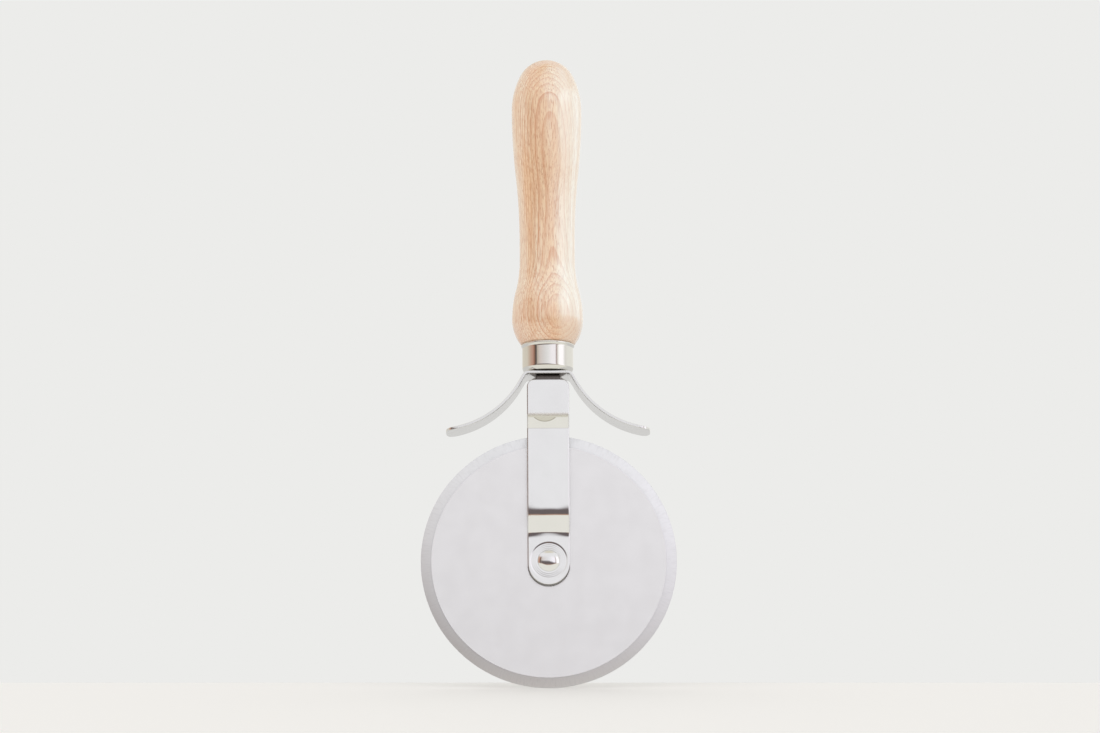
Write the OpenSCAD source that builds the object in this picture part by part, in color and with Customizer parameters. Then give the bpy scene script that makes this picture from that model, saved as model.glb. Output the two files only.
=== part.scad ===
// Pastry cutter wheel: a round steel blade in a two-legged fork, with a finger guard
// and a turned beech handle. Millimetres, +Z along the handle, -Y is the front,
// and the origin is the lowest point of the blade.

/* [Blade] */
// Diameter of the blade
wheel_d = 100; // [80:1:120]
// Thickness of the blade
blade_t = 1.2; // [0.8:0.1:2]
// Width of the ground bevel round the rim
bevel_w = 4.1; // [2:0.1:8]
// Thickness left at the cutting edge
edge_t = 0.2; // [0.1:0.05:0.4]

/* [Axle] */
// Outside diameter of the rivet tube that is the axle
axle_d = 5; // [4:0.1:6]
// Diameter of the pin inside the rivet tube
rivet_pin_d = 3; // [2:0.1:3.4]
// Diameter of the two rivet heads
rivet_head_d = 8.7; // [7.4:0.1:9.4]
// Height of the two rivet heads
rivet_head_h = 1.5; // [1:0.1:2.5]
// Outside diameter of the bush that the blade turns on
bush_d = 7; // [6.6:0.1:8]
// Outside diameter of the thrust washers
thrust_washer_d = 10.6; // [9.6:0.1:11.4]
// Thickness of a thrust washer
thrust_washer_t = 0.5; // [0.3:0.1:1]

/* [Fork] */
// Thickness of the fork's strip
fork_t = 1.3; // [1:0.1:1.6]
// Width of a leg
leg_w = 16.5; // [16:0.1:20]
// Gap from the blade's top to the underside of the crown
crown_gap = 22.2; // [16:0.1:40]
// Depth of the crown over both legs
crown_depth = 14.4; // [13.6:0.1:18]
// Outside radius of the bends at the crown
crown_bend_r = 2.2; // [1.8:0.1:3.2]
// Width of the neck that crosses the crown
neck_w = 9.4; // [8.4:0.1:12]
// Drop from the crown's top to the shoulders
shoulder_drop = 2.2; // [1.8:0.1:3]
// Radius of the shoulders' corners
shoulder_r = 3; // [1:0.1:3.2]
// Inward shift of the upper step
upper_step = 1.4; // [0.5:0.05:1.5]
// Height of the upper step
upper_step_h = 5.6; // [4:0.1:8]
// Drop from the crown's top to the start of the upper step
upper_step_drop = 16; // [10:0.5:20]
// Radius of the upper step's bends, in the middle of the strip
upper_bend_r = 1; // [0.9:0.1:1.6]
// Height of the lower step
lower_step_h = 9.6; // [8:0.1:14]
// Height of the lower step's foot above the axle
lower_step_foot = 11; // [9:0.1:14]
// Share of the lower step that its bend at the foot takes
lower_foot_share = 0.12; // [0.1:0.01:0.6]
// Length of a leg below the axle
leg_below_axle = 9.7; // [9.2:0.1:14]
// Diameter of the dish pressed round the rivet
dish_d = 15; // [14.4:0.1:15.6]
// Diameter of the dish's flat floor
dish_floor_d = 13.2; // [12.4:0.1:13.8]
// Depth of the dish
dish_depth = 0.09; // [0.05:0.01:0.2]

/* [Finger guard] */
// Thickness of the guard's strip
guard_t = 1.2; // [0.8:0.1:2]
// Depth of the guard's strip, front to back
guard_depth = 15.5; // [14.6:0.1:20]
// Span of the guard from tip to tip
guard_span = 80; // [70:1:100]
// Width of the flat middle
guard_flat_w = 14.8; // [14:0.1:16]
// Inside radius of the bends beside the flat
guard_bend_r = 1.8; // [1:0.1:2.4]
// Steepest slope of a wing, in degrees
guard_slope = 60; // [50:1:64]
// Length of the straight part of a wing
guard_straight = 3.1; // [1:0.1:6]
// Radius of a wing's underside sweep
guard_sweep_r = 38.5; // [36:0.5:60]
// Corner radius of a wing's tip
guard_tip_r = 4; // [1:0.5:6]

/* [Ferrule] */
// Diameter of the ferrule
ferrule_d = 20; // [19.6:0.1:22]
// Height of the ferrule
ferrule_h = 11.8; // [8:0.1:16]
// Wall of the ferrule
ferrule_wall = 0.8; // [0.5:0.1:1.2]
// Radius of the ferrule's bottom edge
ferrule_edge_r = 2.2; // [1.2:0.1:2.4]
// Diameter of the flat that sits on the guard
ferrule_seat_d = 11; // [9:0.5:13]
// Rise of the ferrule's bottom from that flat to its edge
ferrule_lift = 0.3; // [0.1:0.1:0.8]
// Diameter of the rolled bead's round at the ferrule's mouth
bead_d = 1.3; // [0.8:0.1:1.6]
// Amount that the bead stands proud of the ferrule
bead_proud = 0.45; // [0.1:0.05:0.5]

/* [Handle] */
// Length of the handle above the ferrule
handle_len = 115; // [95:1:140]
// Amount that the handle's foot stands proud of the ferrule
foot_proud = 0.5; // [0.5:0.1:1.5]
// Diameter of the bulb near the ferrule
bulb_d = 27.9; // [25:0.1:32]
// Height of the bulb's widest place above the ferrule
bulb_at = 10; // [7:0.5:14]
// Diameter of the waist
waist_d = 21.8; // [18:0.1:24]
// Height above the ferrule where the waist starts
waist_at = 33.5; // [28:0.5:38]
// Length of the straight waist
waist_len = 8; // [2:0.5:14]
// Diameter of the swelled end
swell_d = 27.6; // [25:0.1:32]
// Distance from the swell's widest place to the handle's end
swell_from_end = 20.4; // [17:0.1:22]
// Radius of the curve from the swell towards the end
end_curve_r = 30.5; // [26:0.5:40]

/* [Tang] */
// Diameter of the tang
tang_d = 4.5; // [3.5:0.1:5]
// Length of the tang inside the handle
tang_in_handle = 62; // [40:1:80]
// Length of the tang's point
tang_point = 5; // [2:0.5:8]
// Diameter of the tang's tip
tang_tip_d = 1.2; // [0.4:0.1:3]
// Diameter of the tang's head
tang_head_d = 6.8; // [6:0.1:7.2]
// Height of the tang's head
tang_head_h = 1.6; // [1:0.1:2.5]
// Diameter of the washer under the tang's head
tang_washer_d = 7.8; // [7.2:0.1:8]
// Thickness of the washer under the tang's head
tang_washer_t = 1; // [0.6:0.1:1.5]

/* [Clearances] */
// Radial clearance of the blade on its bush
run_clear = 0.05; // [0.02:0.01:0.1]
// Gap between the blade and each thrust washer
side_clear = 0.15; // [0.1:0.05:0.3]
// Radial clearance of a pin or sleeve in a fixed hole
hole_clear = 0.05; // [0.02:0.01:0.1]
// Radial clearance of a driven or pressed piece
press_clear = 0.01; // [0.005:0.005:0.03]

/* [Hidden] */
$fn = 96;
beech = "BurlyWood";
steel = "Silver";
bright_steel = "Gainsboro";
// Straight pieces that make one bend of a strip, and one curve of the handle
bend_steps = 8;
sweep_steps = 16;
curve_steps = 12;
// Amount that a cutting shape runs past the face it cuts
over = 1;

// Hub, from the blade outwards
axle_z = wheel_d / 2;
bush_len = blade_t + 2 * side_clear + 2 * thrust_washer_t;
dish_in = bush_len / 2;
dish_out = dish_in + fork_t;
leg_in = dish_in + dish_depth;
leg_out = leg_in + fork_t;
dish_floor_r = dish_floor_d / 2;
dish_wall_w = dish_d / 2 - dish_floor_r;

// Stack above the blade
crown_under = wheel_d + crown_gap;
fork_top = crown_under + fork_t;
guard_top = fork_top + guard_t;
ferrule_floor = guard_top + ferrule_lift + ferrule_wall;
ferrule_top = guard_top + ferrule_h;
tenon_r = ferrule_d / 2 - ferrule_wall - press_clear;
tang_r = tang_d / 2;
tang_hole_r = tang_r + hole_clear;
tang_washer_under = crown_under - tang_washer_t;
tang_end = ferrule_floor + tang_in_handle;

// Fork: the two steps of a leg, and its shoulders
lower_step = crown_depth / 2 - upper_step - leg_out;
leg_end = axle_z - leg_below_axle;
lower_foot_z = axle_z + lower_step_foot;
lower_head_z = lower_foot_z + lower_step_h;
upper_head_z = fork_top - upper_step_drop;
upper_foot_z = upper_head_z - upper_step_h;
shoulder_z = fork_top - shoulder_drop;

// A step of a given shift and height, made of two bends: their turn, and the sum of their radii
function step_turn(shift, height) = 2 * atan(shift / height);
function step_radii(shift, height) = height / sin(step_turn(shift, height));
// The same with a given bend radius: the turn, and the straight slope between the bends
function slope_reach(shift, height, r) = norm([height / 2, r - shift / 2]);
function slope_turn(shift, height, r) =
    asin(r / slope_reach(shift, height, r)) - atan((r - shift / 2) / (height / 2));
function slope_len(shift, height, r) = 2 * sqrt(slope_reach(shift, height, r) ^ 2 - r ^ 2);

// A strip's midline is a list of moves: [length, 0] is straight, [radius, turn] is an arc.
// Each point is [x, y, heading], and a positive turn is to the left.
function arc_end(p, r, turn) =
    let (side = sign(turn))
    [p[0] - side * r * sin(p[2]) + side * r * sin(p[2] + turn),
     p[1] + side * r * cos(p[2]) - side * r * cos(p[2] + turn),
     p[2] + turn];
function move_end(p, move) =
    move[1] == 0
        ? [p[0] + move[0] * cos(p[2]), p[1] + move[0] * sin(p[2]), p[2]]
        : arc_end(p, move[0], move[1]);
function move_points(p, move, steps) =
    move[1] == 0
        ? [p]
        : [for (i = [0 : steps - 1]) arc_end(p, move[0], move[1] * i / steps)];
function midline(p, moves, steps, i = 0) =
    i == len(moves)
        ? [p]
        : concat(move_points(p, moves[i], steps), midline(move_end(p, moves[i]), moves, steps, i + 1));
function beside(p, gap) = [p[0] - gap * sin(p[2]), p[1] + gap * cos(p[2])];
function strip(points, t) =
    concat([for (p = points) beside(p, t / 2)],
           [for (i = [len(points) - 1 : -1 : 0]) beside(points[i], -t / 2)]);
function reversed(moves) = [for (i = [len(moves) - 1 : -1 : 0]) moves[i]];

// Radius of a turned curve at z, from r1 at z1 to r2 at z2, upright at both ends
function ogee(z, z1, r1, z2, r2) =
    let (way = sign(r1 - r2),
         bend = ((z2 - z1) ^ 2 + (r2 - r1) ^ 2) / (4 * abs(r2 - r1)),
         near_first = z - z1 < z2 - z)
    near_first
        ? r1 - way * (bend - sqrt(bend ^ 2 - (z - z1) ^ 2))
        : r2 + way * (bend - sqrt(bend ^ 2 - (z2 - z) ^ 2));
// Points of that curve, and of an arc, between their two ends
function ogee_points(z1, r1, z2, r2, steps) =
    [for (i = [1 : steps - 1]) let (z = z1 + (z2 - z1) * i / steps) [ogee(z, z1, r1, z2, r2), z]];
function arc_points(x, y, r, from, to, steps) =
    [for (i = [1 : steps - 1]) let (a = from + (to - from) * i / steps) [x + r * cos(a), y + r * sin(a)]];

// Round head with its flat side at z = 0
module dome(d, h) {
    ball_r = (d ^ 2 / 4 + h ^ 2) / (2 * h);
    intersection() {
        translate([0, 0, h - ball_r]) sphere(r = ball_r);
        cylinder(d = d, h = h);
    }
}

module ring(outer_r, inner_r, h) {
    difference() {
        cylinder(r = outer_r, h = h);
        translate([0, 0, -over]) cylinder(r = inner_r, h = h + 2 * over);
    }
}

// Turns a shape on +Z so that it lies on the axle with its +Z to the front or the rear
module on_axle(front) {
    translate([0, 0, axle_z]) rotate([front ? 90 : -90, 0, 0]) children();
}

module handle() {
    foot_z = ferrule_top;
    bulb_z = foot_z + bulb_at;
    waist_z1 = foot_z + waist_at;
    waist_z2 = waist_z1 + waist_len;
    end_z = foot_z + handle_len;
    swell_z = end_z - swell_from_end;
    foot_r = ferrule_d / 2 + foot_proud;
    bulb_r = bulb_d / 2;
    waist_r = waist_d / 2;
    swell_r = swell_d / 2;
    tenon_chamfer = ferrule_edge_r - ferrule_wall + press_clear;
    // The foot rises to the bulb on one arc
    foot_curve_r = (bulb_at ^ 2 + (bulb_r - foot_r) ^ 2) / (2 * (bulb_r - foot_r));
    foot_angle = asin(bulb_at / foot_curve_r);
    // The end is an arc from the swell, and a smaller arc about the axis that meets it
    end_x = swell_r - end_curve_r;
    nose_r = (end_curve_r ^ 2 - swell_from_end ^ 2 - end_x ^ 2) / (2 * (end_curve_r - swell_from_end));
    nose_z = end_z - nose_r;
    nose_angle = atan2(nose_z - swell_z, -end_x);
    outline = concat(
        [[0, ferrule_floor],
         [tenon_r - tenon_chamfer, ferrule_floor],
         [tenon_r, ferrule_floor + tenon_chamfer],
         [tenon_r, foot_z],
         [foot_r, foot_z]],
        arc_points(bulb_r - foot_curve_r, bulb_z, foot_curve_r, -foot_angle, 0, curve_steps),
        [[bulb_r, bulb_z]],
        ogee_points(bulb_z, bulb_r, waist_z1, waist_r, 2 * curve_steps),
        [[waist_r, waist_z1], [waist_r, waist_z2]],
        ogee_points(waist_z2, waist_r, swell_z, swell_r, 2 * curve_steps),
        [[swell_r, swell_z]],
        arc_points(end_x, swell_z, end_curve_r, 0, nose_angle, curve_steps),
        [[nose_r * cos(nose_angle), nose_z + nose_r * sin(nose_angle)]],
        arc_points(0, nose_z, nose_r, nose_angle, 90, curve_steps),
        [[0, end_z]]);
    color(beech) difference() {
        rotate_extrude() polygon(outline);
        translate([0, 0, ferrule_floor - over])
            cylinder(r = tang_r + press_clear, h = tang_in_handle + over);
    }
}

module ferrule() {
    r = ferrule_d / 2;
    inner_r = r - ferrule_wall;
    inner_edge_r = ferrule_edge_r - ferrule_wall;
    bead_r = bead_d / 2;
    bead_x = r + bead_proud - bead_r;
    bead_z = ferrule_top - bead_r;
    bead_angle = acos((r - bead_x) / bead_r);
    seat_r = ferrule_seat_d / 2;
    edge_x = r - ferrule_edge_r;
    rise = atan(ferrule_lift / (r - seat_r));
    edge_z = guard_top + (edge_x - seat_r) * tan(rise) + ferrule_edge_r / cos(rise);
    outline = concat(
        [[tang_hole_r, guard_top],
         [seat_r, guard_top],
         [edge_x + ferrule_edge_r * sin(rise), edge_z - ferrule_edge_r * cos(rise)]],
        arc_points(edge_x, edge_z, ferrule_edge_r, rise - 90, 0, bend_steps),
        [[r, edge_z],
         [r, bead_z - bead_r * sin(bead_angle)]],
        arc_points(bead_x, bead_z, bead_r, -bead_angle, 90, bend_steps),
        [[bead_x, ferrule_top],
         [inner_r, ferrule_top],
         [inner_r, ferrule_floor + inner_edge_r]],
        arc_points(inner_r - inner_edge_r, ferrule_floor + inner_edge_r, inner_edge_r, 0, -90, bend_steps),
        [[inner_r - inner_edge_r, ferrule_floor],
         [tang_hole_r, ferrule_floor]]);
    color(bright_steel) rotate_extrude() polygon(outline);
}

module finger_guard() {
    mid_r = guard_bend_r + guard_t / 2;
    sweep_r = guard_sweep_r - guard_t / 2;
    // The sweep ends where the wing reaches half the span
    sweep_x = guard_flat_w / 2 + mid_r * sin(guard_slope) + guard_straight * cos(guard_slope);
    tip_slope = asin(sin(guard_slope) - (guard_span / 2 - sweep_x) / sweep_r);
    drop = mid_r * (1 - cos(guard_slope)) + guard_straight * sin(guard_slope)
         + sweep_r * (cos(tip_slope) - cos(guard_slope));
    wing = [[mid_r, -guard_slope], [guard_straight, 0], [sweep_r, guard_slope - tip_slope]];
    start = [-guard_span / 2, guard_top - guard_t / 2 - drop, tip_slope];
    moves = concat(reversed(wing), [[guard_flat_w, 0]], wing);
    corner_x = guard_span / 2 - guard_tip_r;
    corner_y = guard_depth / 2 - guard_tip_r;
    color(steel) difference() {
        intersection() {
            rotate([90, 0, 0]) linear_extrude(guard_depth, center = true)
                polygon(strip(midline(start, moves, sweep_steps), guard_t));
            linear_extrude(guard_top + over) {
                square([2 * corner_x, guard_depth + over], center = true);
                square([guard_span, 2 * corner_y], center = true);
                for (x = [-corner_x, corner_x], y = [-corner_y, corner_y])
                    translate([x, y]) circle(r = guard_tip_r);
            }
        }
        translate([0, 0, fork_top - over]) cylinder(r = tang_hole_r, h = guard_t + 2 * over);
    }
}

// Flat outline of a leg, seen from the front, with its round end, shoulders and neck
module leg_outline() {
    end_r = leg_w / 2;
    corner_x = leg_w / 2 - shoulder_r;
    corner_z = shoulder_z - shoulder_r;
    translate([0, leg_end + end_r]) circle(r = end_r);
    translate([-leg_w / 2, leg_end + end_r]) square([leg_w, corner_z - leg_end - end_r]);
    translate([-corner_x, corner_z - over]) square([2 * corner_x, shoulder_r + over]);
    for (x = [-corner_x, corner_x]) translate([x, corner_z]) circle(r = shoulder_r);
    translate([-neck_w / 2, shoulder_z - over]) square([neck_w, fork_top - shoulder_z + 2 * over]);
}

// Middle of a dish's wall, from its floor to its rim, on +Z outwards
function dish_midline() =
    let (turn = step_turn(dish_depth, dish_wall_w),
         r = step_radii(dish_depth, dish_wall_w) / 2)
    midline([dish_floor_r, dish_in + fork_t / 2, 0], [[r, turn], [r, -turn]], bend_steps);

// What a dish adds on a leg's inside, and what it takes from its outside
module dish_boss() {
    root = leg_in + fork_t / 2;
    inside = [for (p = dish_midline()) beside(p, -fork_t / 2)];
    rotate_extrude() polygon(concat([[0, dish_in]], inside, [[dish_d / 2, root], [0, root]]));
}

module dish_recess() {
    mouth = leg_out + over;
    outside = [for (p = dish_midline()) beside(p, fork_t / 2)];
    rotate_extrude() polygon(concat([[0, dish_out]], outside, [[dish_d / 2, mouth], [0, mouth]]));
    cylinder(r = axle_d / 2 + hole_clear, h = mouth);
}

module fork() {
    upper_turn = slope_turn(upper_step, upper_step_h, upper_bend_r);
    upper_slope = slope_len(upper_step, upper_step_h, upper_bend_r);
    lower_turn = step_turn(lower_step, lower_step_h);
    lower_radii = step_radii(lower_step, lower_step_h);
    // Front leg, from the crown's flat down
    leg = [[crown_bend_r - fork_t / 2, 90],
           [fork_top - crown_bend_r - upper_head_z, 0],
           [upper_bend_r, upper_turn],
           [upper_slope, 0],
           [upper_bend_r, -upper_turn],
           [upper_foot_z - lower_head_z, 0],
           [lower_radii * (1 - lower_foot_share), lower_turn],
           [lower_radii * lower_foot_share, -lower_turn],
           [lower_foot_z - leg_end + over, 0]];
    start = [leg_in + fork_t / 2, leg_end - over, 90];
    moves = concat(reversed(leg), [[crown_depth - 2 * crown_bend_r, 0]], leg);
    color(bright_steel) difference() {
        union() {
            intersection() {
                rotate([90, 0, 90]) linear_extrude(leg_w + 2 * over, center = true)
                    polygon(strip(midline(start, moves, bend_steps), fork_t));
                rotate([90, 0, 0]) linear_extrude(crown_depth + 2 * over, center = true) leg_outline();
            }
            for (front = [true, false]) on_axle(front) dish_boss();
        }
        for (front = [true, false]) on_axle(front) dish_recess();
        translate([0, 0, crown_under - over]) cylinder(r = tang_hole_r, h = fork_t + 2 * over);
    }
}

module tang() {
    head_r = tang_head_d / 2;
    head_under = tang_washer_under - tang_head_h;
    tip_r = tang_tip_d / 2;
    color(steel) rotate_extrude() polygon([
        [0, head_under],
        [tang_r, head_under],
        [head_r, head_under + tang_head_h / 2],
        [head_r, tang_washer_under],
        [tang_r, tang_washer_under],
        [tang_r, tang_end - tang_point],
        [tip_r, tang_end],
        [0, tang_end]]);
}

module tang_washer() {
    color(steel) translate([0, 0, tang_washer_under])
        ring(tang_washer_d / 2, tang_hole_r, tang_washer_t);
}

module blade_wheel() {
    r = wheel_d / 2;
    hole_r = bush_d / 2 + run_clear;
    color(steel) on_axle(true) rotate_extrude() polygon([
        [hole_r, -blade_t / 2],
        [r - bevel_w, -blade_t / 2],
        [r, -edge_t / 2],
        [r, edge_t / 2],
        [r - bevel_w, blade_t / 2],
        [hole_r, blade_t / 2]]);
}

module wheel_bush() {
    color(steel) on_axle(true) translate([0, 0, -bush_len / 2])
        ring(bush_d / 2, axle_d / 2 + hole_clear, bush_len);
}

module thrust_washer(front) {
    color(steel) on_axle(front) translate([0, 0, blade_t / 2 + side_clear])
        ring(thrust_washer_d / 2, bush_d / 2 + hole_clear, thrust_washer_t);
}

module front_washer() {
    thrust_washer(true);
}

module rear_washer() {
    thrust_washer(false);
}

// A dome on the outer face of a dish
module rivet_head() {
    translate([0, 0, dish_out]) dome(rivet_head_d, rivet_head_h);
}

module axle_rivet() {
    tube_len = 2 * dish_out;
    color(bright_steel) on_axle(true) difference() {
        union() {
            rivet_head();
            translate([0, 0, -dish_out]) cylinder(d = axle_d, h = tube_len + rivet_head_h / 2);
        }
        translate([0, 0, -dish_out - over]) cylinder(d = rivet_pin_d, h = tube_len + over);
    }
}

module rivet_cap() {
    // The pin stops short of the tube's blind end
    pin_len = 2 * dish_out - fork_t;
    color(bright_steel) on_axle(false) {
        rivet_head();
        translate([0, 0, dish_out - pin_len])
            cylinder(r = rivet_pin_d / 2 - press_clear, h = pin_len + rivet_head_h / 2);
    }
}

handle();
ferrule();
finger_guard();
fork();
tang();
tang_washer();
blade_wheel();
wheel_bush();
front_washer();
rear_washer();
axle_rivet();
rivet_cap();
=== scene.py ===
"""Looks of the pastry cutter wheel: finer meshes for the shown pieces, finishes, light and camera.

Lengths are in metres, written as millimetres times MM. -Y is the front, +Z runs up the handle.
"""

import functools
import math

import bmesh
import bpy
from mathutils import Matrix, Vector


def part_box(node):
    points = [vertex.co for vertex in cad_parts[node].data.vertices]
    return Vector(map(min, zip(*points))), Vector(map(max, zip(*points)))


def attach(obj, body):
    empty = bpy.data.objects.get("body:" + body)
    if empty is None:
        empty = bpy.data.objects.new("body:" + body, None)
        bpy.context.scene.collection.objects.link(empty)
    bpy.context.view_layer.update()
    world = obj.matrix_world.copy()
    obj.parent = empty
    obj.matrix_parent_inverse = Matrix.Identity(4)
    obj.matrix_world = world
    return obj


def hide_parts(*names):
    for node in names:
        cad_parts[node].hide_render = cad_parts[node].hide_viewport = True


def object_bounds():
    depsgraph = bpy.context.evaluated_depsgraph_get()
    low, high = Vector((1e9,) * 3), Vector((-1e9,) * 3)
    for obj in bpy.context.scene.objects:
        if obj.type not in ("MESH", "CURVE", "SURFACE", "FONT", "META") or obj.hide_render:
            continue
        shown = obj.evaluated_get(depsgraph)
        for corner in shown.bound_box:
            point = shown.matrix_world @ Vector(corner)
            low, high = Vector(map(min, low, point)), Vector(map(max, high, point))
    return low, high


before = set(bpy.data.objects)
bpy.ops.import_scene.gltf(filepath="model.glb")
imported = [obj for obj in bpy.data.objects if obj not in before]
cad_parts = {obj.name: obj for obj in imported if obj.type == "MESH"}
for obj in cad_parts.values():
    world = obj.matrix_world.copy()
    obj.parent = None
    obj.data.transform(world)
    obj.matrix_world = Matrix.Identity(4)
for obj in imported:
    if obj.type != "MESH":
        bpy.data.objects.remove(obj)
cad_low, cad_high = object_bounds()

MM = 0.001

# Camera and the tool's lean away from it, matched to the photograph
PHOTO_W = 1100
PHOTO_H = 733
FOCAL_PX = 6658
SENSOR_W = 36
CAMERA_FAR = 2600 * MM
CLIP_FAR = 20
LEAN = math.radians(11.7)
ROLL = math.radians(0.29)
HUB_PX = (548.85, 561.54)

# Level directions, as the leaning tool's own frame has them
LEANING_UP = Vector((0, -math.sin(LEAN), math.cos(LEAN)))
ROOM_AHEAD = Vector((0, math.cos(LEAN), math.sin(LEAN)))
ROOM_UP = LEANING_UP * math.cos(ROLL) + Vector((math.sin(ROLL), 0, 0))
ROOM_RIGHT = ROOM_AHEAD.cross(ROOM_UP)

# Floor, tilted under the leaning tool
FLOOR_HALF_W = 1500 * MM
FLOOR_FRONT = 1800 * MM
FLOOR_BACK = 45 * MM

# Tone of what the metal mirrors, by angle from straight in front, in degrees, left to right
ROOM_TONES = (
    (-180, (0.80, 0.76, 0.68)),
    (-110, (0.80, 0.74, 0.64)),
    (-86, (0.65, 0.46, 0.36)),
    (-74, (0.60, 0.36, 0.28)),
    (-66, (0.36, 0.19, 0.13)),
    (-60, (0.12, 0.09, 0.08)),
    (-56, (0.12, 0.10, 0.09)),
    (-51, (0.66, 0.58, 0.50)),
    (-38, (0.83, 0.75, 0.72)),
    (-20, (0.87, 0.84, 0.84)),
    (0, (0.97, 0.965, 0.98)),
    (20, (1.15, 1.11, 1.17)),
    (37, (1.15, 1.11, 1.17)),
    (40, (0.55, 0.45, 0.44)),
    (44, (0.55, 0.45, 0.44)),
    (48, (1.0, 0.97, 0.93)),
    (56, (1.36, 1.33, 1.38)),
    (75, (1.36, 1.33, 1.38)),
    (87, (0.90, 0.88, 0.85)),
    (105, (0.98, 0.97, 0.92)),
    (180, (0.94, 0.92, 0.87)),
)

# Rises above the horizon, in degrees, over which the mirrored tone changes
GROUND_RISE = (-3.5, -1.5)
HORIZON_RISE = (-1, 1.5)
DIM_TOP_RISE = (13, 21)
PALE_RISE = (28, 44)
OVERHEAD_RISE = (58, 74)

# How fast the dim band in front gets lower to the right
DIM_SLANT = 0.35

# Windows that only the handle's sheen shows: angle and rise in degrees, width and height in metres, watts
SHEEN_WINDOWS = (
    (88, 24, 2.1, 0.52, 4.7),
    (-135, 10, 1.5, 1.2, 1.0),
    (56, 60, 1.8, 1.2, 7.4),
    (140, 12, 1.2, 1.0, 1.0),
)
WINDOW_FAR = 1.1
WINDOW_COLOUR = (0.39, 0.79, 1.0)

# Sizes of the pieces, as in the CAD source, with their boxes from the frame
BLADE_LOW, BLADE_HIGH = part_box("blade_wheel")
BLADE_R = (BLADE_HIGH.x - BLADE_LOW.x) / 2
BLADE_T = BLADE_HIGH.y - BLADE_LOW.y
HUB = (BLADE_LOW + BLADE_HIGH) / 2
HUB_HOLE_R = 3.55 * MM
BEVEL_W = 4.1 * MM
EDGE_T = 0.2 * MM
BEVEL_SOFT_R = 0.4 * MM
HOLE_SOFT_R = 0.1 * MM

FORK_LOW, FORK_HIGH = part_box("fork")
FORK_T = 1.3 * MM
LEG_HALF_W = FORK_HIGH.x
LEG_IN = 1.34 * MM
NECK_HALF_W = 4.7 * MM
SHOULDER_R = 3 * MM
SHOULDER_DROP = 2.2 * MM
NECK_FILLET_R = 0.3 * MM
CROWN_BEND_R = 2.2 * MM
UPPER_STEP_DROP = 16 * MM
UPPER_BEND_Z = FORK_HIGH.z - UPPER_STEP_DROP
UPPER_STEP = 1.4 * MM
UPPER_STEP_H = 5.6 * MM
UPPER_BEND_R = 1.0 * MM
# Arc that ends the painted reflection under the fork's upper bends: its axis's x, its radius and its sag
LENS_X = -1.27 * MM
LENS_R = 6.5 * MM
LENS_SAG = 2.9 * MM
LOWER_STEP_FOOT = 11 * MM
LOWER_STEP_H = 9.6 * MM
LOWER_FOOT_SHARE = 0.12
DISH_R = 7.5 * MM
DISH_FLOOR_R = 6.75 * MM
DISH_DEPTH = 0.09 * MM
RIPPLE_FROM = 4.7 * MM
RIPPLE_W = 0.68 * MM
RIPPLE_H = 0.017 * MM
FORK_EDGE_FLAT = 0.32 * MM

# Fineness of the fork's mesh, whose steps are closer along the leg round the hub
FORK_COLUMNS = 112
LEG_END_STEPS = 80
HUB_STRETCH = 11 * MM
HUB_GAP = 0.15 * MM

GUARD_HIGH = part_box("finger_guard")[1]
GUARD_T = 1.2 * MM
GUARD_FLAT_W = 14.8 * MM
GUARD_BEND_R = 1.8 * MM
GUARD_SLOPE = math.radians(60)
GUARD_STRAIGHT = 3.1 * MM
GUARD_SWEEP_R = 38.5 * MM
GUARD_TIP_LEN = 5 * MM
GUARD_TIP_POWER = 3.0
GUARD_TIP_STEPS = 28
GUARD_COLUMNS = 16
GUARD_EDGE_FLAT = 0.16 * MM

FERRULE_LOW, FERRULE_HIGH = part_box("ferrule")
FERRULE_R = 10 * MM
FERRULE_WALL = 0.8 * MM
FERRULE_EDGE_R = 2.2 * MM
FERRULE_SEAT_R = 5.5 * MM
FERRULE_LIFT = 0.3 * MM
FERRULE_HOLE_R = 2.3 * MM
BEAD_R = 0.65 * MM
FLARE_R = 2.2 * MM
FLARE_MEET = math.radians(50)

HANDLE_LOW, HANDLE_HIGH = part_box("handle")
FOOT_R = 10.5 * MM
BULB_R = HANDLE_HIGH.x
BULB_AT = 10 * MM
WAIST_R = 10.9 * MM
WAIST_AT = 33.5 * MM
WAIST_LEN = 8 * MM
SWELL_R = 13.8 * MM
SWELL_FROM_END = 20.4 * MM
END_CURVE_R = 30.5 * MM
TENON_R = 9.19 * MM
PROFILE_GAP = 0.7 * MM

# Wood: its pith leans in front of the handle, and the wood is darker towards the handle's lower end
RING_W = 1.1 * MM
RING_WAVE = 1.1 * MM
PITH = Vector((13.8 * MM, -80.9 * MM, 194 * MM))
GRAIN_WAY = Vector((-0.24, -0.115, 1)).normalized()
DARKER_BELOW_Z = (147 * MM, 154 * MM)
# Across the handle, where the painted sheen on its right side starts and where it is full
SHEEN_SIDE_X = (2 * MM, 7 * MM)

RIVET_R = 4.35 * MM
RIVET_H = 1.5 * MM
RIVET_CROWN_R = 9.7 * MM
RIVET_SHOULDER_AT = 2.2 * MM
AXLE_R = 2.5 * MM
PIN_R = 1.49 * MM

# Worn edge of a strip: two small rounds with a flat between them
EDGE_TURN = math.radians(28.4)
EDGE_FACE_R = 0.08 * MM
EDGE_SIDE_R = 0.12 * MM
SIDE_GAP = 0.02 * MM

# Fineness of the meshes
TURN_STEPS = 192
FINE_ARC_STEPS = 24
ARC_STEPS = 16
EDGE_ARC_STEPS = 14
WORN_EDGE_STEPS = 12
SMALL_ARC_STEPS = 10
CORNER_STEPS = 6
STATION_GAP = 0.6 * MM
STATION_TURN = math.radians(2)
TINY = 1e-7

# The lower step's bends are averaged over these lengths, fully at the strip's sides and least in its middle
SOFT_GAPS = (-2.4 * MM, -1.2 * MM, 0, 1.2 * MM, 2.4 * MM)
SOFT_REACH = 2.6 * MM
FOOT_SOFT = 0.25
HEAD_SOFT = 0.05


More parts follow.
